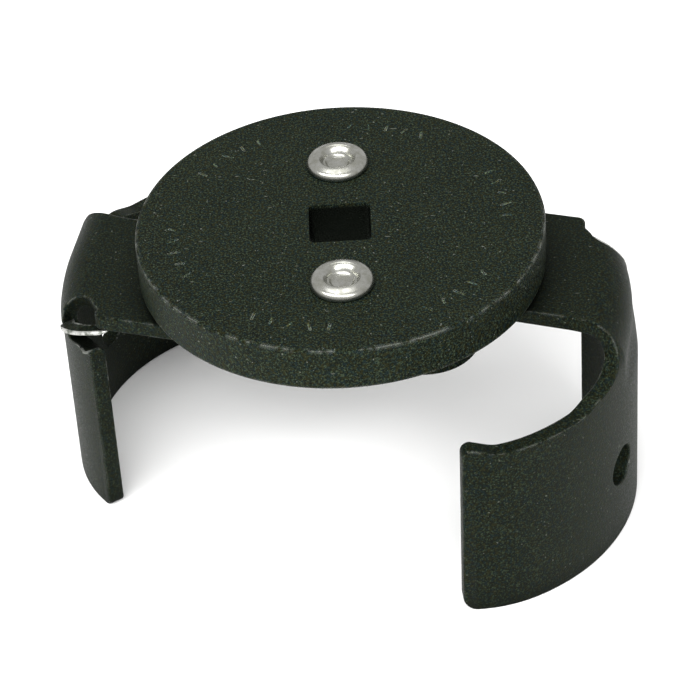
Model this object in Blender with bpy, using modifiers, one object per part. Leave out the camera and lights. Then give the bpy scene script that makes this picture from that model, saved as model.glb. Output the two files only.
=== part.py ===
"""Two-jaw oil filter wrench.

A round drive plate takes a square drive in its middle. Two pressed steel jaw arms hang under it,
each on its own tubular rivet, and swing together to close on a filter can.

Metres, +Z up. The origin is on the drive plate's axis, level with the lower edges of the jaws.
The right arm hangs on the back rivet and the left arm on the front one, half a turn apart.
"""

from math import acos, asin, cos, pi, radians, sin, tau

import bmesh
import bpy
from mathutils import Matrix, Vector

MM = 0.001
OBJECT_NAME = "oil_filter_wrench"
GAP = 0.3 * MM
MERGE = 0.00001

# Drive plate
PLATE_TOP = 48.7 * MM
PLATE_RADIUS = 32.5 * MM
PLATE_THICKNESS = 7.5 * MM
PLATE_BOTTOM = PLATE_TOP - PLATE_THICKNESS
PLATE_EDGE = 0.6 * MM
SQUARE_SIDE = 9.8 * MM
SQUARE_CORNER = 0.9 * MM

# Pivots, one behind the plate's axis and one in front of it
PIVOT_OFFSET = 15.8 * MM
SHANK_RADIUS = 3.5 * MM
PIVOT_HOLE = SHANK_RADIUS + GAP

# Washers
SPACER_THICKNESS = 0.6 * MM
SPACER_RADIUS = 6.4 * MM
WASHER_THICKNESS = 1.0 * MM
WASHER_RADIUS = 7.0 * MM

# Sheet of the arms, and the bar that lies flat under the plate.
# Arm outlines are drawn in the arm's own plane: its pivot at zero, u out along the bar, n across it.
SHEET = 2.7 * MM
ARM_TOP = PLATE_BOTTOM - 2 * GAP - SPACER_THICKNESS
ARM_ANGLE = radians(-19.2)
BAR_NEAR = -19.0 * MM
BAR_FAR = 6.9 * MM
TAIL_INNER = -6.5 * MM
TAIL_CENTRE = Vector((-12.0, -3.0)) * MM
TAIL_RADIUS = 8.6 * MM
DRIVE_CLEARANCE = 8.0 * MM
CLOSED_ANGLE = radians(-34.0)
BAR_ROOT = 16.8 * MM
BAR_CORNER = 2.0 * MM
BAR_END = 39.8 * MM
END_CORNER = 1.4 * MM

# Jaw, pressed down from the bar's end round its own centre. Angles run round that centre from the
# bar's direction, to the near end in front and the far end behind; heights are above Z = 0.
JAW_CENTRE = Vector((20.2, -17.25)) * MM
JAW_RADIUS = 33.0 * MM
BEND_RADIUS = 6.2 * MM
BEND_START = JAW_RADIUS - BEND_RADIUS
BEND_LENGTH = (BEND_RADIUS - SHEET / 2) * pi / 2
JAW_LENGTH = BEND_LENGTH + ARM_TOP - BEND_RADIUS
NEAR_END = radians(-64.8)
FAR_END = radians(50.3)
TOE_IN = 1.0 * MM
TOE_ANGLE = radians(20.0)
FLANGE_RADIUS = 22.5 * MM
BAR_OVERLAP_RADIUS = 24.8 * MM
NEAR_CORNER = 2.4 * MM
NEAR_SLANT = 0.6 * MM
NEAR_CHIP = 1.3 * MM
FAR_CORNER = 1.2 * MM
JAW_COLUMNS = 36
BEND_ROWS = 7
FADE_ROWS = 3

# The bar's bend is straighter than the jaw's round: inside it at the middle, outside it at the far side
BAND_MIDDLE = radians(8.0)
BAND_NEAR = radians(14.0)
BAND_FAR = radians(28.0)
BAND_DIP = 1.0 * MM
BAND_FLARE = 1.7 * MM
FLARE_END = radians(44.0)
FADE_LONG = 6.0 * MM
FADE_SHORT = 2.0 * MM
FADE_START = radians(20.0)
FADE_ANGLE = radians(16.0)

# Cuts at the jaw's two shoulders, the dip in its near top edge, and the tooling hole in its wall
RELIEF_EDGE = -2.4 * MM
RELIEF_WIDTH = 9.6 * MM
RELIEF_RADIUS = 25.0 * MM
BAND_TOP = 32.9 * MM
TOP_DIP = 1.2 * MM
DIP_START = radians(-20.0)
DIP_END = radians(-63.0)
DIP_RAMP = radians(9.5)
TOP_STEPS = 16
NOTCH_SIDE = 20.8 * MM
NOTCH_WIDTH = 4.7 * MM
NOTCH_RADIUS = 27.8 * MM
NOTCH_SHOULDER = 6.5 * MM
NOTCH_ROUND = 0.6 * MM
LEG_ROOT = 31.0 * MM
LEG_TIP = 33.2 * MM
HOLE_ANGLE = radians(-8.0)
HOLE_HEIGHT = 14.0 * MM
HOLE_RADIUS = 3.45 * MM

# Rivets: the tubular end rolled over on the plate, the flat foot under the arm
HEAD_RADIUS = 5.0 * MM
HEAD_HEIGHT = 1.7 * MM
HEAD_CREST = 3.8 * MM
RECESS_RADIUS = 2.6 * MM
RECESS_DEPTH = 1.2 * MM
FOOT_RADIUS = 6.2 * MM
FOOT_THICKNESS = 2.0 * MM
TURNED_STEPS = 48


def clear_scene():
    for item in list(bpy.data.objects):
        bpy.data.objects.remove(item, do_unlink=True)


def new_collection(name):
    collection = bpy.data.collections.new(name)
    bpy.context.scene.collection.children.link(collection)
    return collection


def steel(name, colour, roughness, metallic):
    material = bpy.data.materials.new(name)
    material.use_nodes = True
    shader = material.node_tree.nodes["Principled BSDF"]
    shader.inputs["Base Color"].default_value = (*colour, 1.0)
    shader.inputs["Roughness"].default_value = roughness
    shader.inputs["Metallic"].default_value = metallic
    return material


def arc(centre, radius, start, end, steps):
    """Points on a circle from one angle to another, both included."""
    angles = [start + (end - start) * step / steps for step in range(steps + 1)]
    return [centre + radius * Vector((cos(angle), sin(angle))) for angle in angles]


def ring(centre, radius, steps):
    return arc(centre, radius, 0.0, tau, steps)[:-1]


def link(name, mesh, collection, material):
    piece = bpy.data.objects.new(name, mesh)
    collection.objects.link(piece)
    if material:
        mesh.materials.clear()
        mesh.materials.append(material)
    return piece


def evaluated_mesh(piece):
    graph = bpy.context.evaluated_depsgraph_get()
    return bpy.data.meshes.new_from_object(piece.evaluated_get(graph))


def apply_modifiers(piece):
    """Keep the piece as its evaluated mesh, with no modifiers left."""
    mesh = evaluated_mesh(piece)
    piece.modifiers.clear()
    piece.data = mesh


def prism(name, outlines, thickness, collection):
    """A flat plate from closed outlines, its mid plane at Z = 0, welded into one mesh."""
    curve = bpy.data.curves.new(name, "CURVE")
    curve.dimensions = "2D"
    curve.fill_mode = "BOTH"
    curve.extrude = thickness / 2
    for outline in outlines:
        spline = curve.splines.new("POLY")
        spline.points.add(len(outline) - 1)
        for point, place in zip(spline.points, outline):
            point.co = (place.x, place.y, 0.0, 1.0)
        spline.use_cyclic_u = True
    guide = bpy.data.objects.new(name + "_outline", curve)
    collection.objects.link(guide)
    mesh = evaluated_mesh(guide)
    bpy.data.objects.remove(guide, do_unlink=True)
    shape = bmesh.new()
    shape.from_mesh(mesh)
    bmesh.ops.remove_doubles(shape, verts=shape.verts, dist=MERGE)
    bmesh.ops.dissolve_limit(
        shape, angle_limit=radians(0.5), verts=shape.verts, edges=shape.edges)
    bmesh.ops.recalc_face_normals(shape, faces=shape.faces)
    shape.to_mesh(mesh)
    shape.free()
    return link(name, mesh, collection, None)


def turned(name, profile, collection, material):
    """A solid turned round Z from a profile of radius and height, run down its outer side."""
    mesh = bpy.data.meshes.new(name)
    count = len(profile)
    closed = profile[0][0] > 0.0
    edges = [(index, index + 1) for index in range(count - 1)]
    if closed:
        edges.append((count - 1, 0))
    mesh.from_pydata([(radius, 0.0, height) for radius, height in profile], edges, [])
    piece = link(name, mesh, collection, material)
    screw = piece.modifiers.new("turn", "SCREW")
    screw.steps = TURNED_STEPS
    screw.render_steps = TURNED_STEPS
    screw.use_merge_vertices = True
    screw.merge_threshold = MERGE
    screw.use_smooth_shade = True
    apply_modifiers(piece)
    piece.data.set_sharp_from_angle(angle=radians(35))
    return piece


def boolean(piece, other, operation):
    modifier = piece.modifiers.new(operation.lower(), "BOOLEAN")
    modifier.operation = operation
    modifier.object = other


def as_cutter(piece):
    piece.hide_render = True
    piece.display_type = "WIRE"
    return piece


def drive_plate(parts, cutters, material):
    profile = [
        (0.0, PLATE_TOP),
        (PLATE_RADIUS - PLATE_EDGE, PLATE_TOP),
        (PLATE_RADIUS - PLATE_EDGE * 0.3, PLATE_TOP - PLATE_EDGE * 0.3),
        (PLATE_RADIUS, PLATE_TOP - PLATE_EDGE),
        (PLATE_RADIUS, PLATE_BOTTOM + PLATE_EDGE),
        (PLATE_RADIUS - PLATE_EDGE, PLATE_BOTTOM),
        (0.0, PLATE_BOTTOM),
    ]
    plate = turned("drive_plate", profile, parts, material)
    half = SQUARE_SIDE / 2 - SQUARE_CORNER
    square = []
    for quarter, (x, y) in enumerate([(half, half), (-half, half), (-half, -half), (half, -half)]):
        start = quarter * pi / 2
        square += arc(Vector((x, y)), SQUARE_CORNER, start, start + pi / 2, 4)
    openings = {"drive_square": square}
    openings["back_pivot_hole"] = ring(Vector((0.0, PIVOT_OFFSET)), PIVOT_HOLE, 32)
    openings["front_pivot_hole"] = ring(Vector((0.0, -PIVOT_OFFSET)), PIVOT_HOLE, 32)
    for name, outline in openings.items():
        cutter = as_cutter(prism(name, [outline], PLATE_THICKNESS * 2, cutters))
        cutter.location.z = PLATE_TOP - PLATE_THICKNESS / 2
        boolean(plate, cutter, "DIFFERENCE")
    return plate


def bar_outline():
    """The flat bar and its tail, ending inside the jaw's flange."""
    drive_at_closed = Vector((-sin(CLOSED_ANGLE), -cos(CLOSED_ANGLE))) * PIVOT_OFFSET
    near_angle = asin((BAR_NEAR - JAW_CENTRE.y) / BAR_OVERLAP_RADIUS)
    clear_angle = pi - asin((TAIL_INNER - drive_at_closed.y) / DRIVE_CLEARANCE)
    end_corner = Vector((BAR_END - END_CORNER, BAR_FAR - END_CORNER))
    tail_end = TAIL_CENTRE.x - TAIL_RADIUS
    tail_corner = Vector((tail_end + BAR_CORNER, TAIL_INNER + BAR_CORNER))
    root_corner = Vector((BAR_ROOT + BAR_CORNER, BAR_NEAR + BAR_CORNER))
    points = arc(JAW_CENTRE, BAR_OVERLAP_RADIUS, near_angle, FAR_END - radians(5), 10)
    points += arc(end_corner, END_CORNER, radians(-10), radians(90), 6)
    points += arc(TAIL_CENTRE, TAIL_RADIUS, radians(92), pi, 12)
    points += arc(tail_corner, BAR_CORNER, pi, 3 * pi / 2, 4)
    points += arc(drive_at_closed, DRIVE_CLEARANCE, clear_angle, 0.0, 14)
    points += arc(root_corner, BAR_CORNER, pi, 3 * pi / 2, 5)
    return points


def along_radius(radius):
    """Length outward along the flat jaw, from where the bend starts to a radius on its top face."""
    if radius < BEND_START:
        return radius - BEND_START
    return asin((radius - BEND_START) / BEND_RADIUS) * (BEND_RADIUS - SHEET / 2)


def along_height(height):
    """Length outward along the flat jaw, from where the bend starts to a height on its outer face."""
    drop = ARM_TOP - height
    if drop > BEND_RADIUS:
        return BEND_LENGTH + drop - BEND_RADIUS
    return acos(1.0 - drop / BEND_RADIUS) * (BEND_RADIUS - SHEET / 2)


def relief_outline():
    """The rounded cut between the bar and the long side of the jaw, from the bar outwards."""
    start = along_radius(RELIEF_RADIUS)
    depth = along_height(BAND_TOP) - start
    points = []
    for step in range(11):
        angle = pi / 2 * step / 10
        across = RELIEF_EDGE - RELIEF_WIDTH * (1.0 - cos(angle))
        points.append(Vector((across, start + depth * sin(angle))))
    return points


def smooth(share):
    """Zero to one with level ends, held outside that range."""
    held = min(max(share, 0.0), 1.0)
    return held * held * (3.0 - 2.0 * held)


def near_top_edge():
    """The top edge of the jaw's long side, with a long shallow dip between its shoulder and its end."""
    start = RELIEF_EDGE - RELIEF_WIDTH
    end = NEAR_END * JAW_RADIUS + NEAR_CHIP
    points = []
    for step in range(1, TOP_STEPS):
        across = start + (end - start) * step / TOP_STEPS
        angle = across / JAW_RADIUS
        down = smooth((DIP_START - angle) / DIP_RAMP)
        up = smooth((angle - DIP_END) / DIP_RAMP)
        points.append(Vector((across, along_height(BAND_TOP - TOP_DIP * down * up))))
    return points


def notch_outline():
    """The notch between the bar's far corner and the leg, from the leg's root up to the bar."""
    root = along_height(LEG_ROOT)
    top = along_radius(NOTCH_RADIUS)
    corner = Vector((NOTCH_SIDE + NOTCH_ROUND, root - NOTCH_ROUND))
    points = arc(corner, NOTCH_ROUND, pi / 2, pi, 4)
    for step in range(9):
        angle = pi / 2 * step / 8
        across = NOTCH_SIDE + NOTCH_WIDTH * (1.0 - cos(angle))
        points.append(Vector((across, NOTCH_SHOULDER - (NOTCH_SHOULDER - top) * sin(angle))))
    return points


def jaw_outline():
    """The jaw laid flat: x is length round the jaw, y is length outward and down from the bend."""
    near_end = NEAR_END * JAW_RADIUS
    far_end = FAR_END * JAW_RADIUS
    near_top = along_height(BAND_TOP)
    inner = FLANGE_RADIUS - BEND_START
    points = [Vector((RELIEF_EDGE, inner))]
    points += relief_outline()
    points += near_top_edge()
    near_chip = Vector((near_end + NEAR_CHIP, near_top + NEAR_CHIP))
    points += arc(near_chip, NEAR_CHIP, -pi / 2, -pi, 3)
    near_corner = Vector((near_end - NEAR_SLANT + NEAR_CORNER, JAW_LENGTH - NEAR_CORNER))
    points += arc(near_corner, NEAR_CORNER, pi, pi / 2, 6)
    far_corner = Vector((far_end - FAR_CORNER, JAW_LENGTH - FAR_CORNER))
    points += arc(far_corner, FAR_CORNER, pi / 2, 0.0, 4)
    points.append(Vector((far_end, along_height(LEG_TIP))))
    points += notch_outline()
    points.append(Vector((far_end, along_radius(NOTCH_RADIUS))))
    points.append(Vector((far_end, inner)))
    return points


def toe_in(angle):
    """How far the jaw's ends are pressed in from its round."""
    limit = FAR_END if angle > 0.0 else -NEAR_END
    share = max(0.0, abs(angle) - limit + TOE_ANGLE) / TOE_ANGLE
    return TOE_IN * share ** 2


def band_shift(angle):
    """How far the bar's bend lies outside the jaw's round, negative where it lies inside."""
    if angle < BAND_MIDDLE:
        share = min((BAND_MIDDLE - angle) / BAND_NEAR, 1.0)
        return BAND_DIP * (share ** 2 - 1.0)
    share = (min(angle, FLARE_END) - BAND_MIDDLE) / BAND_FAR
    return BAND_FLARE * share ** 2 - BAND_DIP


def band_fade(angle, below):
    """How much of the bend's shift is left at a length below the bend."""
    share = min(max((angle - FADE_START) / FADE_ANGLE, 0.0), 1.0)
    reach = FADE_LONG + (FADE_SHORT - FADE_LONG) * share
    return 1.0 - smooth(below / reach)


def press(flat):
    """Where a point of the flat jaw lies once the jaw is pressed down and round."""
    angle = flat.x / JAW_RADIUS
    depth = SHEET / 2 - flat.z
    bend = min(max(flat.y / BEND_LENGTH, 0.0), 1.0) * pi / 2
    outward = (BEND_RADIUS - depth) * sin(bend)
    radius = BEND_START + min(flat.y, 0.0) + outward - toe_in(angle) * sin(bend)
    radius += band_shift(angle) * band_fade(angle, flat.y - BEND_LENGTH)
    drop = BEND_RADIUS - (BEND_RADIUS - depth) * cos(bend) + max(flat.y - BEND_LENGTH, 0.0)
    return Vector((
        JAW_CENTRE.x + radius * cos(angle),
        JAW_CENTRE.y + radius * sin(angle),
        -drop,
    ))


def score(shape, places, direction):
    """Split every face along parallel planes, so that the sheet can bend there."""
    for place in places:
        geometry = shape.verts[:] + shape.edges[:] + shape.faces[:]
        bmesh.ops.bisect_plane(
            shape, geom=geometry, dist=MERGE * 0.1, plane_co=direction * place, plane_no=direction)


def pressed_jaw(name, cutters):
    """The jaw with its flange, in the arm's plane, the sheet's top face at Z = 0."""
    hole_centre = Vector((HOLE_ANGLE * JAW_RADIUS, along_height(HOLE_HEIGHT)))
    hole = ring(hole_centre, HOLE_RADIUS, 28)
    jaw = prism(name, [jaw_outline(), hole], SHEET, cutters)
    shape = bmesh.new()
    shape.from_mesh(jaw.data)
    near_end = NEAR_END * JAW_RADIUS
    step = (FAR_END - NEAR_END) * JAW_RADIUS / JAW_COLUMNS
    columns = [near_end + step * index for index in range(1, JAW_COLUMNS)]
    rows = [BEND_LENGTH * row / BEND_ROWS for row in range(BEND_ROWS + 1)]
    rows += [BEND_LENGTH + FADE_LONG * row / FADE_ROWS for row in range(1, FADE_ROWS + 1)]
    score(shape, columns, Vector((1.0, 0.0, 0.0)))
    score(shape, rows, Vector((0.0, 1.0, 0.0)))
    for vertex in shape.verts:
        vertex.co = press(vertex.co)
    bmesh.ops.recalc_face_normals(shape, faces=shape.faces)
    shape.to_mesh(jaw.data)
    shape.free()
    return jaw


def jaw_arm(name, parts, cutters, material, half_turn):
    """One arm: the flat bar joined to its pressed jaw, turned on its pivot."""
    hole = ring(Vector((0.0, 0.0)), PIVOT_HOLE, 32)
    arm = prism(name, [bar_outline(), hole], SHEET, parts)
    arm.data.transform(Matrix.Translation((0.0, 0.0, -SHEET / 2)))
    jaw = pressed_jaw(name + "_jaw", cutters)
    boolean(arm, jaw, "UNION")
    apply_modifiers(arm)
    bpy.data.objects.remove(jaw, do_unlink=True)
    arm.data.materials.clear()
    arm.data.materials.append(material)
    arm.data.shade_smooth()
    arm.data.set_sharp_from_angle(angle=radians(30))
    side = -1.0 if half_turn else 1.0
    arm.location = (0.0, side * PIVOT_OFFSET, ARM_TOP)
    arm.rotation_euler.z = ARM_ANGLE + (pi if half_turn else 0.0)
    return arm


def rivet(name, y, parts, material):
    seat = PLATE_TOP + GAP
    top = PLATE_TOP + HEAD_HEIGHT
    foot_top = ARM_TOP - SHEET - WASHER_THICKNESS - 2 * GAP
    foot_bottom = foot_top - FOOT_THICKNESS
    roll = (HEAD_RADIUS - HEAD_CREST) * 0.7
    profile = [
        (0.0, top - RECESS_DEPTH),
        (RECESS_RADIUS * 0.75, top - RECESS_DEPTH),
        (RECESS_RADIUS, top - RECESS_DEPTH * 0.75),
        (RECESS_RADIUS * 1.1, top - RECESS_DEPTH * 0.25),
        (HEAD_CREST - roll * 0.6, top - RECESS_DEPTH * 0.05),
        (HEAD_CREST, top),
        (HEAD_CREST + roll * 0.7, top - roll * 0.2),
        (HEAD_RADIUS - roll * 0.25, top - roll * 0.6),
        (HEAD_RADIUS, top - roll),
        (HEAD_RADIUS - GAP, seat),
        (SHANK_RADIUS, seat),
        (SHANK_RADIUS, foot_top),
        (FOOT_RADIUS, foot_top),
        (FOOT_RADIUS, foot_bottom + GAP * 2),
        (FOOT_RADIUS - GAP * 2, foot_bottom),
        (0.0, foot_bottom),
    ]
    piece = turned(name, profile, parts, material)
    piece.location.y = y
    return piece


def washer(name, y, top, thickness, radius, parts, material):
    profile = [
        (PIVOT_HOLE, top),
        (radius, top),
        (radius, top - thickness),
        (PIVOT_HOLE, top - thickness),
    ]
    piece = turned(name, profile, parts, material)
    piece.location.y = y
    return piece


def main():
    clear_scene()
    parts = new_collection(OBJECT_NAME)
    cutters = new_collection("cutters")
    black = steel("black_oxide_steel", (0.022, 0.026, 0.021), 0.42, 0.85)
    plated = steel("zinc_plated_steel", (0.62, 0.63, 0.62), 0.28, 1.0)
    bare = steel("bare_spring_steel", (0.30, 0.30, 0.29), 0.40, 1.0)
    drive_plate(parts, cutters, black)
    jaw_arm("right_jaw_arm", parts, cutters, black, half_turn=False)
    jaw_arm("left_jaw_arm", parts, cutters, black, half_turn=True)
    for place, side in (("back", 1.0), ("front", -1.0)):
        y = side * PIVOT_OFFSET
        rivet(place + "_rivet", y, parts, plated)
        spacer_top = PLATE_BOTTOM - GAP
        washer(place + "_spacer", y, spacer_top, SPACER_THICKNESS, SPACER_RADIUS, parts, bare)
        washer_top = ARM_TOP - SHEET - GAP
        washer(place + "_washer", y, washer_top, WASHER_THICKNESS, WASHER_RADIUS, parts, bare)


main()
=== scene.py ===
"""Looks of the two-jaw oil filter wrench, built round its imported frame.

Shapes are drawn in millimetres and scaled to metres when a piece is finished. Heights and centres
come from the frame's own boxes. The right arm hangs on the back rivet and the left arm on the front
one, half a turn apart.
"""

from math import acos, asin, cos, pi, radians, sin, tau

import bmesh
import bpy
from mathutils import Matrix, Vector


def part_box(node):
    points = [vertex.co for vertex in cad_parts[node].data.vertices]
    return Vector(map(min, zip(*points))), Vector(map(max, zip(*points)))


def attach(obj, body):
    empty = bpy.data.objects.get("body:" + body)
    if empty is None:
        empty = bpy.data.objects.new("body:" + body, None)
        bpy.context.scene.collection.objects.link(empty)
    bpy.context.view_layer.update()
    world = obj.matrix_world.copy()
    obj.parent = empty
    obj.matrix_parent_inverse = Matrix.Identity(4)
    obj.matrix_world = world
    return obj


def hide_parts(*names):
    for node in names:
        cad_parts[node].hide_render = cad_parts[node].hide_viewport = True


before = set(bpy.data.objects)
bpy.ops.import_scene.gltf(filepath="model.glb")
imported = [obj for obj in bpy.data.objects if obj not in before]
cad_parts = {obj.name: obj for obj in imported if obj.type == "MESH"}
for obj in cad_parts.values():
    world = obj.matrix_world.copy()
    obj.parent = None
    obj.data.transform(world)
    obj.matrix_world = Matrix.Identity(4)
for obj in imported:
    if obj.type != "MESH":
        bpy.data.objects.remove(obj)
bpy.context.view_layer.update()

MM = 0.001
MERGE = 0.001
FLAT_ANGLE = radians(0.2)
RIM_ANGLE = radians(45)
SHARP_ANGLE = radians(22)

# Drive plate
PLATE_RADIUS = 32.5
PLATE_EDGE = 0.5
SQUARE_SIDE = 9.8
SQUARE_CORNER = 0.9
HOLE_EDGE = 0.25
SQUARE_EDGE = 0.08
PIVOT_HOLE = 3.8
SHANK_RADIUS = 3.5

# Sheet of the arms, and the bar that lies flat under the plate.
# Arm outlines are drawn in the arm's own plane: its pivot at zero, u out along the bar, n across it.
SHEET = 2.7
SHEET_EDGE = 0.32
ARM_ANGLE = radians(-19.2)
BAR_NEAR = -19.0
BAR_FAR = 6.9
TAIL_INNER = -6.5
TAIL_CENTRE = Vector((-12.0, -3.0))
TAIL_RADIUS = 8.6
DRIVE_CLEARANCE = 8.0
CLOSED_ANGLE = radians(-34.0)
BAR_ROOT = 16.8
BAR_CORNER = 2.0
BAR_END = 39.8
END_CORNER = 1.4
END_START = radians(-10)
END_BACK = radians(5)
TAIL_START = radians(92)

# Jaw, pressed down from the bar's end round its own centre. Angles run round that centre from the
# bar's direction, to the near end in front and the far end behind; heights are above Z = 0.
JAW_CENTRE = Vector((20.2, -17.25))
JAW_RADIUS = 33.0
BEND_RADIUS = 6.2
BEND_START = JAW_RADIUS - BEND_RADIUS
BEND_LENGTH = (BEND_RADIUS - SHEET / 2) * pi / 2
NEAR_END = radians(-64.8)
FAR_END = radians(50.3)
TOE_IN = 1.0
TOE_ANGLE = radians(20.0)
FLANGE_RADIUS = 22.5
BAR_OVERLAP_RADIUS = 24.8
NEAR_CORNER = 2.4
NEAR_SLANT = 0.6
NEAR_CHIP = 1.7
FAR_CORNER = 1.2
JAW_COLUMNS = 150
BEND_ROWS = 18
FADE_ROWS = 12

# The bar's bend is straighter than the jaw's round: inside it at the middle, outside it at the far side
BAND_MIDDLE = radians(8.0)
BAND_NEAR = radians(14.0)
BAND_FAR = radians(28.0)
BAND_DIP = 1.0
BAND_FLARE = 1.7
FLARE_END = radians(44.0)
FADE_LONG = 6.0
FADE_SHORT = 2.0
FADE_START = radians(20.0)
FADE_ANGLE = radians(16.0)

# Cuts at the jaw's two shoulders, the dip in its near top edge, and the tooling hole in its wall
RELIEF_EDGE = -2.4
RELIEF_WIDTH = 9.6
RELIEF_RADIUS = 25.0
RELIEF_STEPS = 24
BAND_TOP = 32.9
TOP_DIP = 1.2
DIP_START = radians(-20.0)
DIP_END = radians(-63.0)
DIP_RAMP = radians(9.5)
TOP_STEPS = 48
NOTCH_SIDE = 20.8
NOTCH_WIDTH = 4.7
NOTCH_RADIUS = 27.8
NOTCH_SHOULDER = 6.5
NOTCH_ROUND = 0.6
NOTCH_STEPS = 20
LEG_ROOT = 31.0
LEG_TIP = 33.2
HOLE_ANGLE = radians(-8.0)
HOLE_HEIGHT = 14.0
HOLE_RADIUS = 3.45

# Heights and centres read from the frame
PLATE_LOW, PLATE_HIGH = (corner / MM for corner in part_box("drive_plate"))
PLATE_TOP = PLATE_HIGH.z
ARM_TOP = (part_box("right_jaw_arm")[1] / MM).z
PIVOT_OFFSET = sum(corner.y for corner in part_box("back_rivet")) / 2 / MM
JAW_LENGTH = BEND_LENGTH + ARM_TOP - BEND_RADIUS


def arc(centre, radius, start, end, steps):
    """Points along a round stretch, both ends included."""
    angles = [start + (end - start) * step / steps for step in range(steps + 1)]
    return [centre + radius * Vector((cos(angle), sin(angle))) for angle in angles]


def ring(centre, radius, steps):
    """Points once round a circle."""
    return arc(centre, radius, 0.0, tau, steps)[:-1]


def add_object(name, data):
    piece = bpy.data.objects.new(name, data)
    bpy.context.scene.collection.objects.link(piece)
    return piece


def evaluated_mesh(piece):
    """A mesh of its own from an object's curve or modifiers."""
    graph = bpy.context.evaluated_depsgraph_get()
    return bpy.data.meshes.new_from_object(piece.evaluated_get(graph))


def curve_mesh(name, curve):
    """The mesh that a filled or bevelled curve makes."""
    guide = add_object(name, curve)
    mesh = evaluated_mesh(guide)
    bpy.data.objects.remove(guide, do_unlink=True)
    return mesh


def prism(name, outlines, thickness, widths):
    """A flat blank from closed outlines, mid plane at zero.

    Each outline's two edges are rounded by its own width.
    """
    curve = bpy.data.curves.new(name, "CURVE")
    curve.dimensions = "2D"
    curve.fill_mode = "BOTH"
    curve.extrude = thickness / 2
    for outline in outlines:
        spline = curve.splines.new("POLY")
        spline.points.add(len(outline) - 1)
        for point, place in zip(spline.points, outline):
            point.co = (place.x, place.y, 0.0, 1.0)
        spline.use_cyclic_u = True
    mesh = curve_mesh(name + "_outline", curve)
    shape = bmesh.new()
    shape.from_mesh(mesh)
    bmesh.ops.remove_doubles(shape, verts=shape.verts, dist=MERGE)
    bmesh.ops.dissolve_limit(
        shape, angle_limit=FLAT_ANGLE, verts=shape.verts, edges=shape.edges)
    bmesh.ops.recalc_face_normals(shape, faces=shape.faces)
    for outline, width in zip(outlines, widths):
        round_rim(shape, outline, width)
    shape.to_mesh(mesh)
    shape.free()
    mesh.materials.clear()
    return add_object(name, mesh)


def round_rim(shape, outline, width):
    """Round the two rims that one outline makes in a blank."""
    places = {(round(p.x, 2), round(p.y, 2)) for p in outline}
    rim = []
    for edge in shape.edges:
        level = abs(edge.verts[0].co.z - edge.verts[1].co.z) < MERGE
        own = all((round(v.co.x, 2), round(v.co.y, 2)) in places for v in edge.verts)
        if level and own and edge.calc_face_angle(0.0) > RIM_ANGLE:
            rim.append(edge)
    bmesh.ops.bevel(
        shape, geom=rim, offset=width, offset_type="OFFSET", segments=2, profile=0.5,
        affect="EDGES", clamp_overlap=False, loop_slide=True)


def boolean(piece, other, operation):
    """Combine two pieces and keep the result as the first one's mesh."""
    modifier = piece.modifiers.new(operation.lower(), "BOOLEAN")
    modifier.operation = operation
    modifier.solver = "EXACT"
    modifier.material_mode = "TRANSFER"
    modifier.object = other
    mesh = evaluated_mesh(piece)
    piece.modifiers.clear()
    piece.data = mesh
    bpy.data.objects.remove(other, do_unlink=True)


def finish_piece(piece, place, turn, body, node, materials):
    """Scale a drawn piece to metres, put it in place and tell the frame what it stands for."""
    matrix = Matrix.Scale(MM, 4) @ Matrix.Translation(place) @ Matrix.Rotation(turn, 4, "Z")
    piece.data.transform(matrix)
    if len(materials) == 1:
        piece.data.materials.clear()
        piece.data.materials.append(materials[0])
    piece.data.shade_smooth()
    piece.data.set_sharp_from_angle(angle=SHARP_ANGLE)
    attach(piece, body)
    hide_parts(node)
    return piece


def turned(name, profile, steps):
    """A solid turned round Z from a profile of radius and height, run down its outer side."""
    mesh = bpy.data.meshes.new(name)
    count = len(profile)
    edges = [(index, index + 1) for index in range(count - 1)]
    if profile[0][0] > 0.0:
        edges.append((count - 1, 0))
    mesh.from_pydata([(radius, 0.0, height) for radius, height in profile], edges, [])
    piece = add_object(name, mesh)
    screw = piece.modifiers.new("turn", "SCREW")
    screw.steps = steps
    screw.render_steps = steps
    screw.use_merge_vertices = True
    screw.merge_threshold = MERGE
    piece.data = evaluated_mesh(piece)
    piece.modifiers.clear()
    return piece


# Materials

NICK_GREY = (0.20, 0.21, 0.18, 1.0)
WORN_GREY = (0.26, 0.27, 0.25, 1.0)
OXIDE_SHEEN = (0.74, 1.0, 0.68, 1.0)
WEAR_FADE = 2.0
# Depths below the plate's top where the painted shade in the square hole starts and is full
HOLE_SHADE_TOP = 0.2
HOLE_SHADE_BOTTOM = 0.9


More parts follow.
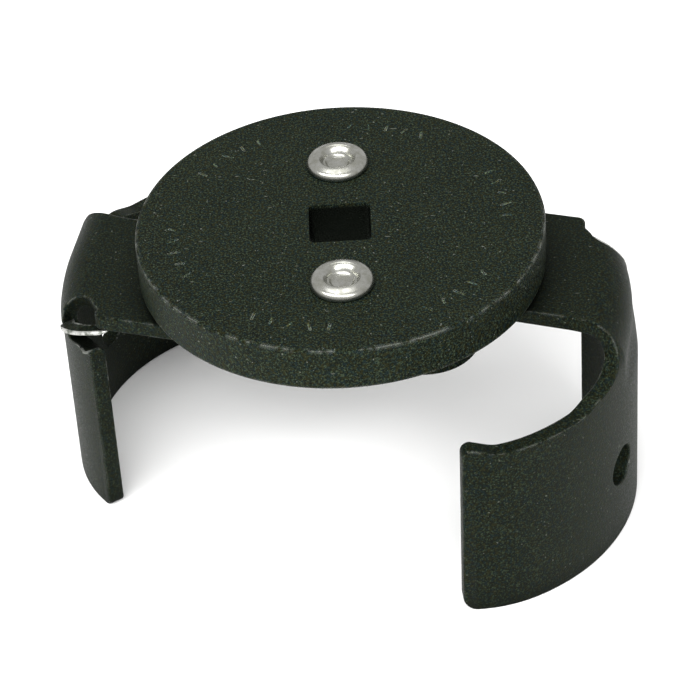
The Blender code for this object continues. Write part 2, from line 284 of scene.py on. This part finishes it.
class Recipe:
    """A node material being put together round one Principled shader."""

    def __init__(self, name):
        self.material = bpy.data.materials.new(name)
        self.material.use_nodes = True
        self.tree = self.material.node_tree
        self.shader = self.tree.nodes["Principled BSDF"]
        self.coords = self.node("ShaderNodeTexCoord").outputs["Object"]

    def node(self, kind, **settings):
        made = self.tree.nodes.new(kind)
        for key, value in settings.items():
            setattr(made, key, value)
        return made

    def set(self, socket, value):
        if isinstance(value, bpy.types.NodeSocket):
            self.tree.links.new(value, socket)
        else:
            socket.default_value = value

    def noise(self, size, detail=3.0, stretch=None, turn=0.0, roughness=0.55):
        """Noise with features of a size in millimetres, optionally stretched and turned."""
        vector = self.coords
        if stretch:
            mapping = self.node("ShaderNodeMapping")
            mapping.inputs["Rotation"].default_value = (0.3 * turn, 0.5 * turn, turn)
            mapping.inputs["Scale"].default_value = stretch
            self.set(mapping.inputs["Vector"], vector)
            vector = mapping.outputs["Vector"]
        texture = self.node("ShaderNodeTexNoise")
        self.set(texture.inputs["Vector"], vector)
        texture.inputs["Scale"].default_value = 1.0 / (size * MM)
        texture.inputs["Detail"].default_value = detail
        texture.inputs["Roughness"].default_value = roughness
        return texture.outputs["Fac"]

    def between(self, value, low, high, to_low=0.0, to_high=1.0):
        """A value from low to high, mapped smoothly to another range and held there."""
        mapped = self.node("ShaderNodeMapRange", interpolation_type="SMOOTHSTEP")
        self.set(mapped.inputs["Value"], value)
        for key, number in (
            ("From Min", low), ("From Max", high), ("To Min", to_low), ("To Max", to_high),
        ):
            mapped.inputs[key].default_value = number
        return mapped.outputs["Result"]

    def math(self, operation, first, second):
        made = self.node("ShaderNodeMath", operation=operation)
        self.set(made.inputs[0], first)
        self.set(made.inputs[1], second)
        return made.outputs["Value"]

    def mix(self, share, first, second):
        made = self.node("ShaderNodeMix", data_type="RGBA")
        self.set(made.inputs[0], share)
        self.set(made.inputs[6], first)
        self.set(made.inputs[7], second)
        return made.outputs[2]

    def height(self):
        """Height above zero, in metres."""
        split = self.node("ShaderNodeSeparateXYZ")
        self.set(split.inputs["Vector"], self.coords)
        return split.outputs["Z"]

    def from_axis(self):
        """Distance from the plate's axis, in metres."""
        level = self.node("ShaderNodeVectorMath", operation="MULTIPLY")
        level.inputs[1].default_value = (1.0, 1.0, 0.0)
        self.set(level.inputs[0], self.coords)
        length = self.node("ShaderNodeVectorMath", operation="LENGTH")
        self.set(length.inputs[0], level.outputs["Vector"])
        return length.outputs["Value"]

    def edges(self, reach, low, high):
        """One along outer edges, falling to nothing at the given reach from them."""
        hollow = self.node("ShaderNodeAmbientOcclusion", inside=True, samples=8)
        hollow.inputs["Distance"].default_value = reach * MM
        return self.between(hollow.outputs["AO"], high, low)

    def hollow_shade(self, reach, low, high):
        """A mask for painted shade: one deep in hollows, falling to nothing in the open."""
        shade = self.node("ShaderNodeAmbientOcclusion", samples=8)
        shade.inputs["Distance"].default_value = reach * MM
        return self.between(shade.outputs["AO"], high, low)

    def bump(self, height, depth, strength, below=None):
        made = self.node("ShaderNodeBump")
        made.inputs["Strength"].default_value = strength
        made.inputs["Distance"].default_value = depth * MM
        self.set(made.inputs["Height"], height)
        if below:
            self.set(made.inputs["Normal"], below)
        return made.outputs["Normal"]

    def use(self, **sockets):
        for key, value in sockets.items():
            self.set(self.shader.inputs[key.replace("_", " ")], value)
        return self.material


def olive(value, warmth=0.0):
    """Dark olive of a brightness, with a little more red where it is warm."""
    return (value * (0.68 + warmth), value, value * (0.64 - warmth), 1.0)


def black_oxide(name, tone, wear, edge, marks, inner=0.0):
    """Satin black oxide over steel: mottled, coarsely speckled, nicked, and worn along its edges,
    with painted shade in its hollows.

    The wear reaches the edge distance in from an edge, but not within the inner distance of the
    plate's axis, both in millimetres. An inner distance also paints shade in the square hole.
    """
    recipe = Recipe(name)
    mottle = recipe.between(recipe.noise(11.0, 5.0, roughness=0.6), 0.35, 0.68)
    colour = recipe.mix(mottle, olive(tone * 0.80), olive(tone * 1.15, 0.08))
    grain = recipe.noise(0.31, 2.0, roughness=0.7)
    light = recipe.between(grain, 0.52, 0.64)
    dark = recipe.between(grain, 0.49, 0.38)
    colour = recipe.mix(light, colour, olive(tone * 6.0, 0.04))
    colour = recipe.mix(dark, colour, olive(tone * 0.06))
    tint = recipe.noise(0.46, 1.0)
    brown = (tone * 1.9, tone * 1.7, tone * 0.4, 1.0)
    blue = (tone * 0.5, tone * 1.3, tone * 1.7, 1.0)
    colour = recipe.mix(recipe.between(tint, 0.54, 0.66, 0.0, 0.7), colour, brown)
    colour = recipe.mix(recipe.between(tint, 0.46, 0.34, 0.0, 0.7), colour, blue)
    specks = recipe.between(recipe.noise(0.55, 1.0), 0.735, 0.775, 0.0, marks)
    nicks = recipe.noise(1.0, 1.0, (0.5, 2.2, 2.2), radians(28))
    nicks = recipe.between(nicks, 0.765, 0.80, 0.0, marks)
    colour = recipe.mix(recipe.math("MAXIMUM", specks, nicks), colour, NICK_GREY)
    rub = recipe.between(recipe.noise(2.8, 4.0, roughness=0.7), 0.44, 0.60)
    worn = recipe.math("MULTIPLY", recipe.edges(edge, 0.60, 0.84), rub)
    if inner:
        reach = recipe.from_axis()
        outer = recipe.between(reach, inner * MM, (inner + WEAR_FADE) * MM)
        worn = recipe.math("MULTIPLY", worn, outer)
        # Painted shade on the walls of the square hole, near black from a little below the plate's top.
        start = (PLATE_TOP - HOLE_SHADE_TOP) * MM
        full = (PLATE_TOP - HOLE_SHADE_BOTTOM) * MM
        low = recipe.between(recipe.height(), start, full)
        near = recipe.between(reach, SQUARE_SIDE * MM, 0.9 * SQUARE_SIDE * MM)
        hole_shade = recipe.math("MULTIPLY", low, near)
        colour = recipe.mix(hole_shade, colour, olive(tone * 0.03))
    worn = recipe.math("MULTIPLY", worn, wear)
    colour = recipe.mix(worn, colour, WORN_GREY)
    # Painted shade: near black in hollows and between parts, from ambient occlusion.
    colour = recipe.mix(recipe.hollow_shade(9.0, 0.30, 0.80), colour, olive(tone * 0.08))
    rough = recipe.between(grain, 0.30, 0.70, 0.40, 0.66)
    rough = recipe.math("SUBTRACT", rough, recipe.math("MULTIPLY", worn, 0.12))
    skin = recipe.bump(recipe.noise(1.6, 3.0), 0.04, 0.3)
    skin = recipe.bump(grain, 0.07, 1.0, skin)
    return recipe.use(
        Base_Color=colour, Roughness=rough, Specular_IOR_Level=0.33, IOR=1.2,
        Specular_Tint=OXIDE_SHEEN, Normal=skin)


def bright_zinc(name):
    """Zinc plate on steel: clouded, finely grained, with painted shade in the hollows, tinted green."""
    recipe = Recipe(name)
    cloud = recipe.between(recipe.noise(1.1, 4.0, roughness=0.65), 0.32, 0.68)
    colour = recipe.mix(cloud, (0.31, 0.31, 0.27, 1.0), (0.44, 0.44, 0.41, 1.0))
    # Painted shade in the hollows, darker and greener.
    colour = recipe.mix(recipe.hollow_shade(1.6, 0.35, 0.8), colour, (0.20, 0.29, 0.29, 1.0))
    grain = recipe.noise(0.22, 3.0, roughness=0.7)
    pits = recipe.between(grain, 0.58, 0.70, 0.0, 0.6)
    colour = recipe.mix(pits, colour, (0.20, 0.20, 0.17, 1.0))
    rough = recipe.between(cloud, 0.0, 1.0, 0.32, 0.22)
    skin = recipe.bump(recipe.noise(0.9, 3.0), 0.03, 0.3)
    skin = recipe.bump(grain, 0.012, 0.4, skin)
    return recipe.use(Base_Color=colour, Roughness=rough, Metallic=1.0, Normal=skin)


def bare_edge(name):
    """Steel rubbed bright along a sheared edge, with some black left in it."""
    recipe = Recipe(name)
    rub = recipe.between(recipe.noise(1.2, 4.0, roughness=0.7), 0.36, 0.60)
    colour = recipe.mix(rub, (0.10, 0.11, 0.09, 1.0), (0.46, 0.46, 0.44, 1.0))
    rough = recipe.between(rub, 0.0, 1.0, 0.5, 0.34)
    skin = recipe.bump(recipe.noise(0.3, 3.0), 0.03, 0.4)
    return recipe.use(Base_Color=colour, Roughness=rough, Metallic=0.5, Normal=skin)


def oiled_steel(name):
    """Bare washer steel with an oil film, darker where it has rubbed."""
    recipe = Recipe(name)
    film = recipe.between(recipe.noise(2.0, 4.0), 0.35, 0.65)
    colour = recipe.mix(film, (0.13, 0.13, 0.12, 1.0), (0.30, 0.30, 0.29, 1.0))
    rough = recipe.between(film, 0.0, 1.0, 0.30, 0.46)
    skin = recipe.bump(recipe.noise(0.3, 3.0), 0.02, 0.4)
    return recipe.use(Base_Color=colour, Roughness=rough, Metallic=1.0, Normal=skin)


# The drive plate

MARK_RING = 26.6
MARK_LENGTH = 2.1
MARK_WIDTH = 0.32
MARK_DEPTH = 0.05
MARK_TILT = radians(24)
MARK_GROUPS = 6
MARKS_IN_GROUP = 5
MARK_SPACING = radians(6.6)
MARK_START = radians(12)


def stamped_marks():
    """Groups of plain uneven strokes stamped in the plate's face, as one cutter."""
    shape = bmesh.new()
    for group in range(MARK_GROUPS):
        for index in range(MARKS_IN_GROUP):
            along = MARK_SPACING * (index - (MARKS_IN_GROUP - 1) / 2)
            angle = MARK_START + tau * group / MARK_GROUPS + along
            sway = sin(2.3 * index + 1.7 * group)
            size = (MARK_LENGTH * (0.8 + 0.2 * sway), MARK_WIDTH, MARK_DEPTH * 2, 1.0)
            matrix = (
                Matrix.Rotation(angle, 4, "Z")
                @ Matrix.Translation((MARK_RING, 0.0, 0.0))
                @ Matrix.Rotation(MARK_TILT * sway, 4, "Z")
                @ Matrix.Diagonal(size)
            )
            bmesh.ops.create_cube(shape, size=1.0, matrix=matrix)
    mesh = bpy.data.meshes.new("marks")
    shape.to_mesh(mesh)
    shape.free()
    return add_object("marks", mesh)


def drive_plate(materials):
    """The round plate with its square hole, two rivet holes and stamped strokes."""
    half = SQUARE_SIDE / 2 - SQUARE_CORNER
    square = []
    for quarter, (x, y) in enumerate([(half, half), (-half, half), (-half, -half), (half, -half)]):
        start = quarter * pi / 2
        square += arc(Vector((x, y)), SQUARE_CORNER, start, start + pi / 2, 8)
    outlines = [ring(Vector((0.0, 0.0)), PLATE_RADIUS, 256), square]
    widths = [PLATE_EDGE, SQUARE_EDGE]
    for side in (1.0, -1.0):
        outlines.append(ring(Vector((0.0, side * PIVOT_OFFSET)), PIVOT_HOLE, 64))
        widths.append(HOLE_EDGE)
    thickness = PLATE_HIGH.z - PLATE_LOW.z
    plate = prism("plate_machined", outlines, thickness, widths)
    plate.data.materials.append(materials[0])
    marks = stamped_marks()
    marks.data.materials.append(materials[1])
    marks.location.z = thickness / 2
    bpy.context.view_layer.update()
    boolean(plate, marks, "DIFFERENCE")
    place = (0.0, 0.0, PLATE_TOP - thickness / 2)
    return finish_piece(plate, place, 0.0, "plate", "drive_plate", materials)


# The arms

def bar_outline():
    """The flat bar and its tail, ending inside the jaw's flange."""
    drive_at_closed = Vector((-sin(CLOSED_ANGLE), -cos(CLOSED_ANGLE))) * PIVOT_OFFSET
    near_angle = asin((BAR_NEAR - JAW_CENTRE.y) / BAR_OVERLAP_RADIUS)
    clear_angle = pi - asin((TAIL_INNER - drive_at_closed.y) / DRIVE_CLEARANCE)
    end_corner = Vector((BAR_END - END_CORNER, BAR_FAR - END_CORNER))
    tail_end = TAIL_CENTRE.x - TAIL_RADIUS
    tail_corner = Vector((tail_end + BAR_CORNER, TAIL_INNER + BAR_CORNER))
    root_corner = Vector((BAR_ROOT + BAR_CORNER, BAR_NEAR + BAR_CORNER))
    points = arc(JAW_CENTRE, BAR_OVERLAP_RADIUS, near_angle, FAR_END - END_BACK, 30)
    points += arc(end_corner, END_CORNER, END_START, pi / 2, 12)
    points += arc(TAIL_CENTRE, TAIL_RADIUS, TAIL_START, pi, 30)
    points += arc(tail_corner, BAR_CORNER, pi, 3 * pi / 2, 10)
    points += arc(drive_at_closed, DRIVE_CLEARANCE, clear_angle, 0.0, 36)
    points += arc(root_corner, BAR_CORNER, pi, 3 * pi / 2, 10)
    return points


def along_radius(radius):
    """Length outward along the flat jaw, from where the bend starts to a radius on its top face."""
    if radius < BEND_START:
        return radius - BEND_START
    return asin((radius - BEND_START) / BEND_RADIUS) * (BEND_RADIUS - SHEET / 2)


def along_height(height):
    """Length outward along the flat jaw, from where the bend starts to a height on its outer face."""
    drop = ARM_TOP - height
    if drop > BEND_RADIUS:
        return BEND_LENGTH + drop - BEND_RADIUS
    return acos(1.0 - drop / BEND_RADIUS) * (BEND_RADIUS - SHEET / 2)


def relief_outline():
    """The rounded cut between the bar and the long side of the jaw, from the bar outwards."""
    start = along_radius(RELIEF_RADIUS)
    depth = along_height(BAND_TOP) - start
    points = []
    for step in range(RELIEF_STEPS + 1):
        angle = pi / 2 * step / RELIEF_STEPS
        across = RELIEF_EDGE - RELIEF_WIDTH * (1.0 - cos(angle))
        points.append(Vector((across, start + depth * sin(angle))))
    return points


def smooth(share):
    """Zero to one with level ends, held outside that range."""
    held = min(max(share, 0.0), 1.0)
    return held * held * (3.0 - 2.0 * held)


def near_top_edge():
    """The top edge of the jaw's long side, with a long shallow dip between its shoulder and its end."""
    start = RELIEF_EDGE - RELIEF_WIDTH
    end = NEAR_END * JAW_RADIUS + NEAR_CHIP
    points = []
    for step in range(1, TOP_STEPS):
        across = start + (end - start) * step / TOP_STEPS
        angle = across / JAW_RADIUS
        down = smooth((DIP_START - angle) / DIP_RAMP)
        up = smooth((angle - DIP_END) / DIP_RAMP)
        points.append(Vector((across, along_height(BAND_TOP - TOP_DIP * down * up))))
    return points


def notch_outline():
    """The notch between the bar's far corner and the leg, from the leg's root up to the bar."""
    root = along_height(LEG_ROOT)
    top = along_radius(NOTCH_RADIUS)
    corner = Vector((NOTCH_SIDE + NOTCH_ROUND, root - NOTCH_ROUND))
    points = arc(corner, NOTCH_ROUND, pi / 2, pi, 8)
    for step in range(NOTCH_STEPS + 1):
        angle = pi / 2 * step / NOTCH_STEPS
        across = NOTCH_SIDE + NOTCH_WIDTH * (1.0 - cos(angle))
        points.append(Vector((across, NOTCH_SHOULDER - (NOTCH_SHOULDER - top) * sin(angle))))
    return points


def jaw_outline():
    """The jaw laid flat: x is length round the jaw, y is length outward and down from the bend."""
    near_end = NEAR_END * JAW_RADIUS
    far_end = FAR_END * JAW_RADIUS
    near_top = along_height(BAND_TOP)
    inner = FLANGE_RADIUS - BEND_START
    points = [Vector((RELIEF_EDGE, inner))]
    points += relief_outline()
    points += near_top_edge()
    near_chip = Vector((near_end + NEAR_CHIP, near_top + NEAR_CHIP))
    points += arc(near_chip, NEAR_CHIP, -pi / 2, -pi, 6)
    near_corner = Vector((near_end - NEAR_SLANT + NEAR_CORNER, JAW_LENGTH - NEAR_CORNER))
    points += arc(near_corner, NEAR_CORNER, pi, pi / 2, 12)
    far_corner = Vector((far_end - FAR_CORNER, JAW_LENGTH - FAR_CORNER))
    points += arc(far_corner, FAR_CORNER, pi / 2, 0.0, 8)
    points.append(Vector((far_end, along_height(LEG_TIP))))
    points += notch_outline()
    points.append(Vector((far_end, along_radius(NOTCH_RADIUS))))
    points.append(Vector((far_end, inner)))
    return points


def toe_in(angle):
    """How far the jaw's ends are pressed in from its round."""
    limit = FAR_END if angle > 0.0 else -NEAR_END
    share = max(0.0, abs(angle) - limit + TOE_ANGLE) / TOE_ANGLE
    return TOE_IN * share ** 2


def band_shift(angle):
    """How far the bar's bend lies outside the jaw's round, negative where it lies inside."""
    if angle < BAND_MIDDLE:
        share = min((BAND_MIDDLE - angle) / BAND_NEAR, 1.0)
        return BAND_DIP * (share ** 2 - 1.0)
    share = (min(angle, FLARE_END) - BAND_MIDDLE) / BAND_FAR
    return BAND_FLARE * share ** 2 - BAND_DIP


def band_fade(angle, below):
    """How much of the bend's shift is left at a length below the bend."""
    share = min(max((angle - FADE_START) / FADE_ANGLE, 0.0), 1.0)
    reach = FADE_LONG + (FADE_SHORT - FADE_LONG) * share
    return 1.0 - smooth(below / reach)


def press(flat):
    """Where a point of the flat jaw lies once the jaw is pressed down and round."""
    angle = flat.x / JAW_RADIUS
    depth = SHEET / 2 - flat.z
    bend = min(max(flat.y / BEND_LENGTH, 0.0), 1.0) * pi / 2
    outward = (BEND_RADIUS - depth) * sin(bend)
    radius = BEND_START + min(flat.y, 0.0) + outward - toe_in(angle) * sin(bend)
    radius += band_shift(angle) * band_fade(angle, flat.y - BEND_LENGTH)
    drop = BEND_RADIUS - (BEND_RADIUS - depth) * cos(bend) + max(flat.y - BEND_LENGTH, 0.0)
    return Vector((
        JAW_CENTRE.x + radius * cos(angle),
        JAW_CENTRE.y + radius * sin(angle),
        -drop,
    ))


def score(shape, places, direction):
    """Split every face along parallel planes, so that the sheet can bend there."""
    for place in places:
        geometry = shape.verts[:] + shape.edges[:] + shape.faces[:]
        bmesh.ops.bisect_plane(
            shape, geom=geometry, dist=MERGE * 0.1, plane_co=direction * place, plane_no=direction)


def pressed_jaw(name):
    """The jaw with its flange, in the arm's plane, the sheet's top face at zero."""
    hole_centre = Vector((HOLE_ANGLE * JAW_RADIUS, along_height(HOLE_HEIGHT)))
    hole = ring(hole_centre, HOLE_RADIUS, 60)
    jaw = prism(name, [jaw_outline(), hole], SHEET, [SHEET_EDGE, SHEET_EDGE])
    shape = bmesh.new()
    shape.from_mesh(jaw.data)
    near_end = NEAR_END * JAW_RADIUS
    step = (FAR_END - NEAR_END) * JAW_RADIUS / JAW_COLUMNS
    columns = [near_end + step * index for index in range(1, JAW_COLUMNS)]
    rows = [BEND_LENGTH * row / BEND_ROWS for row in range(BEND_ROWS + 1)]
    rows += [BEND_LENGTH + FADE_LONG * row / FADE_ROWS for row in range(1, FADE_ROWS + 1)]
    score(shape, columns, Vector((1.0, 0.0, 0.0)))
    score(shape, rows, Vector((0.0, 1.0, 0.0)))
    for vertex in shape.verts:
        vertex.co = press(vertex.co)
    bmesh.ops.recalc_face_normals(shape, faces=shape.faces)
    shape.to_mesh(jaw.data)
    shape.free()
    return jaw


# The burr left along the far side of the bend: places in the arm's plane, depth under the bar's top
BURR_PATH = (
    Vector((37.6, 6.6, -2.9)),
    Vector((38.6, 6.75, -3.3)),
    Vector((40.7, 6.8, -3.8)),
    Vector((43.7, 6.2, -4.8)),
    Vector((46.5, 4.7, -5.8)),
    Vector((47.3, 3.2, -6.3)),
)
BURR_RADII = (0.10, 0.38, 0.34, 0.36, 0.34, 0.12)
LIP_DEPTH = 2.3
LIP_RISE = 0.5
LIP_THICKNESS = 0.5
LIP_STEPS = 6


def edge_burr(name):
    """A tapered bright bead along the sheared edge of the bend."""
    curve = bpy.data.curves.new(name, "CURVE")
    curve.dimensions = "3D"
    curve.bevel_depth = 1.0
    curve.bevel_resolution = 4
    curve.use_fill_caps = True
    curve.resolution_u = 8
    spline = curve.splines.new("NURBS")
    spline.points.add(len(BURR_PATH) - 1)
    for point, place, radius in zip(spline.points, BURR_PATH, BURR_RADII):
        point.co = (*place, 1.0)
        point.radius = radius
    spline.order_u = 3
    spline.use_endpoint_u = True
    mesh = curve_mesh(name + "_path", curve)
    shape = bmesh.new()
    shape.from_mesh(mesh)
    bmesh.ops.remove_doubles(shape, verts=shape.verts, dist=MERGE)
    bmesh.ops.recalc_face_normals(shape, faces=shape.faces)
    shape.to_mesh(mesh)
    shape.free()
    mesh.materials.clear()
    return add_object(name, mesh)


def burr_lip(name):
    """The thin lip of sheet behind the bead, reaching in from it towards the jaw's middle."""
    places = []
    for start, end in zip(BURR_PATH, BURR_PATH[1:]):
        places += [start.lerp(end, step / LIP_STEPS) for step in range(LIP_STEPS)]
    places.append(BURR_PATH[-1])
    shape = bmesh.new()
    rows = []
    for place in places:
        inward = (JAW_CENTRE - place.xy).normalized().to_3d()
        inner = place + LIP_DEPTH * inward + Vector((0.0, 0.0, LIP_RISE))
        half = Vector((0.0, 0.0, LIP_THICKNESS / 2))
        corners = (place + half, inner + half, inner - half, place - half)
        rows.append([shape.verts.new(corner) for corner in corners])
    for first, second in zip(rows, rows[1:]):
        for index in range(4):
            following = (index + 1) % 4
            shape.faces.new((first[index], first[following], second[following], second[index]))
    shape.faces.new(rows[0])
    shape.faces.new(rows[-1])
    bmesh.ops.recalc_face_normals(shape, faces=shape.faces)
    mesh = bpy.data.meshes.new(name)
    shape.to_mesh(mesh)
    shape.free()
    return add_object(name, mesh)


def jaw_arm(name, body, node, side, materials):
    """One arm in one piece: bar, jaw, and the lip and bead at its torn edge."""
    hole = ring(Vector((0.0, 0.0)), PIVOT_HOLE, 64)
    arm = prism(name, [bar_outline(), hole], SHEET, [SHEET_EDGE, HOLE_EDGE])
    arm.data.transform(Matrix.Translation((0.0, 0.0, -SHEET / 2)))
    jaw = pressed_jaw(name + "_jaw")
    lip = burr_lip(name + "_lip")
    burr = edge_burr(name + "_burr")
    for piece in (arm, jaw, lip):
        piece.data.materials.append(materials[0])
    burr.data.materials.append(materials[1])
    boolean(arm, jaw, "UNION")
    boolean(arm, lip, "UNION")
    boolean(arm, burr, "UNION")
    place = (0.0, side * PIVOT_OFFSET, ARM_TOP)
    turn = ARM_ANGLE + (0.0 if side > 0.0 else pi)
    return finish_piece(arm, place, turn, body, node, materials)


# Rivets and washers

HEAD_RADIUS = 5.0
ROLL_WIDTH = 1.07
ROLL_HEIGHT = 1.20
ROLL_START = radians(76)
ROLL_SWEEP = radians(84)
ROLL_STEPS = 12
FOOT_RADIUS = 6.2
FOOT_THICKNESS = 2.0
WASHER_ROUND = 0.2


def rivet(place_name, side, materials):
    """A tubular rivet: a rolled head with a stepped hollow above, a flat foot below."""
    low, top = (corner.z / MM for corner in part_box(place_name + "_rivet"))
    foot_top = low + FOOT_THICKNESS
    profile = [(0.0, top - 1.45), (1.62, top - 1.42), (1.80, top - 1.32), (1.98, top - 1.12)]
    profile += [(2.14, top - 1.06), (2.30, top - 1.04), (2.40, top - 0.84), (2.60, top - 0.57)]
    profile += [(2.84, top - 0.29), (3.06, top - 0.09), (3.28, top), (3.60, top - 0.03)]
    profile += [(3.95, top - 0.15)]
    for step in range(ROLL_STEPS + 1):
        angle = ROLL_START - ROLL_SWEEP * step / ROLL_STEPS
        profile.append((
            HEAD_RADIUS - ROLL_WIDTH + ROLL_WIDTH * cos(angle),
            top - 0.23 - ROLL_HEIGHT * (1.0 - sin(angle)),
        ))
    profile += [(HEAD_RADIUS - 0.12, PLATE_TOP + 0.12), (HEAD_RADIUS - 0.4, PLATE_TOP + 0.02)]
    profile += [(SHANK_RADIUS + 0.05, PLATE_TOP + 0.02), (SHANK_RADIUS, PLATE_TOP - 0.1)]
    profile += [(SHANK_RADIUS, foot_top), (FOOT_RADIUS - 0.3, foot_top)]
    profile += [(FOOT_RADIUS, foot_top - 0.3), (FOOT_RADIUS, low + 0.7)]
    profile += [(FOOT_RADIUS - 0.2, low + 0.25), (FOOT_RADIUS - 0.7, low), (0.0, low)]
    piece = turned(place_name + "_rivet_rolled", profile, 128)
    place = (0.0, side * PIVOT_OFFSET, 0.0)
    return finish_piece(piece, place, 0.0, "plate", place_name + "_rivet", materials)


def washer(place_name, kind, side, materials):
    """A stamped washer with rounded rims."""
    low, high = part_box(f"{place_name}_{kind}")
    bottom, top = low.z / MM, high.z / MM
    radius = (high.x - low.x) / 2 / MM
    edge = (top - bottom) * WASHER_ROUND
    profile = [
        (PIVOT_HOLE, top - edge), (PIVOT_HOLE + edge, top), (radius - edge, top),
        (radius, top - edge), (radius, bottom + edge), (radius - edge, bottom),
        (PIVOT_HOLE + edge, bottom), (PIVOT_HOLE, bottom + edge),
    ]
    piece = turned(f"{place_name}_{kind}_ring", profile, 96)
    place = (0.0, side * PIVOT_OFFSET, 0.0)
    node = f"{place_name}_{kind}"
    return finish_piece(piece, place, 0.0, "plate", node, materials)


# Floor, light and camera, in metres

FLOOR_REACH = 3.0
WORLD_STRENGTH = 0.74
AIM = Vector((0.0, 0.0, 0.02))


def floor():
    """A plain pale floor at zero."""
    mesh = bpy.data.meshes.new("floor")
    sides = ((-1.0, -1.0), (1.0, -1.0), (1.0, 1.0), (-1.0, 1.0))
    corners = [(x * FLOOR_REACH, y * FLOOR_REACH, 0.0) for x, y in sides]
    mesh.from_pydata(corners, [], [(0, 1, 2, 3)])
    piece = add_object("floor", mesh)
    recipe = Recipe("pale_floor")
    cloud = recipe.between(recipe.noise(60.0, 2.0), 0.3, 0.7)
    colour = recipe.mix(cloud, (0.955, 0.955, 0.95, 1.0), (0.97, 0.97, 0.965, 1.0))
    mesh.materials.append(recipe.use(Base_Color=colour, Roughness=0.8, Specular_IOR_Level=0.2))


def softbox(name, place, size, power):
    """A soft rectangular lamp aimed at the wrench."""
    light = bpy.data.lights.new(name, "AREA")
    light.shape = "RECTANGLE"
    light.size, light.size_y = size
    light.energy = power
    lamp = add_object(name, light)
    lamp.location = place
    lamp.rotation_euler = (AIM - Vector(place)).to_track_quat("-Z", "Y").to_euler()


def studio():
    """Even white surroundings, a wide key lamp in front and a weak lamp overhead."""
    world = bpy.data.worlds.new("studio")
    world.use_nodes = True
    background = world.node_tree.nodes["Background"]
    background.inputs["Color"].default_value = (1.0, 1.0, 1.0, 1.0)
    background.inputs["Strength"].default_value = WORLD_STRENGTH
    bpy.context.scene.world = world
    softbox("key", (-0.16, -0.50, 0.62), (1.50, 0.24), 13.0)
    softbox("overhead", (-0.05, 0.10, 0.85), (0.50, 0.50), 2.0)
    bpy.context.scene.view_settings.view_transform = "Standard"


# The camera looks at a target measured from the middle of the plate's top
CAMERA_DISTANCE = 0.5
CAMERA_ELEVATION = 0.634618
CAMERA_AZIMUTH = 0.017221
CAMERA_ROLL = -0.066865
CAMERA_TARGET = Vector((0.000793, -0.032376, 0.0))
SENSOR = 36.0
FOCAL_LENGTH = 162.58
CLIP_START = 0.01


def camera():
    """The viewpoint: in front, raised and slightly rolled."""
    centre = Vector((0.0, 0.0, PLATE_TOP * MM))
    place = centre + CAMERA_DISTANCE * Vector((
        cos(CAMERA_ELEVATION) * sin(CAMERA_AZIMUTH),
        -cos(CAMERA_ELEVATION) * cos(CAMERA_AZIMUTH),
        sin(CAMERA_ELEVATION),
    ))
    forward = (centre + CAMERA_TARGET - place).normalized()
    right = forward.cross(Vector((0.0, 0.0, 1.0))).normalized()
    up = right.cross(forward)
    roll = Matrix.Rotation(CAMERA_ROLL, 3, -forward)
    right, up = roll @ right, roll @ up
    lens = bpy.data.cameras.new("camera")
    lens.sensor_width = SENSOR
    lens.lens = FOCAL_LENGTH
    lens.clip_start = CLIP_START
    viewer = add_object("camera", lens)
    axes = Matrix((right, up, -forward)).transposed().to_4x4()
    viewer.matrix_world = Matrix.Translation(place) @ axes
    bpy.context.scene.camera = viewer


def main():
    """Make every material and piece, then the stage."""
    plate_black = black_oxide("black_oxide_plate", tone=0.0068, wear=1.0, edge=0.8, marks=0.4, inner=16.0)
    mark_grey = black_oxide("worn_stamp", tone=0.028, wear=0.0, edge=0.3, marks=0.6)
    arm_black = black_oxide("black_oxide_sheet", tone=0.0050, wear=0.6, edge=0.5, marks=0.3)
    burr_steel = bare_edge("bare_edge")
    zinc = bright_zinc("bright_zinc")
    washer_steel = oiled_steel("oiled_washer_steel")
    camera()
    studio()
    floor()
    drive_plate([plate_black, mark_grey])
    arm_steel = [arm_black, burr_steel]
    jaw_arm("right_arm_pressed", "right_arm", "right_jaw_arm", 1.0, arm_steel)
    jaw_arm("left_arm_pressed", "left_arm", "left_jaw_arm", -1.0, arm_steel)
    for place_name, side in (("back", 1.0), ("front", -1.0)):
        rivet(place_name, side, [zinc])
        washer(place_name, "spacer", side, [washer_steel])
        washer(place_name, "washer", side, [washer_steel])


main()
bpy.context.view_layer.update()
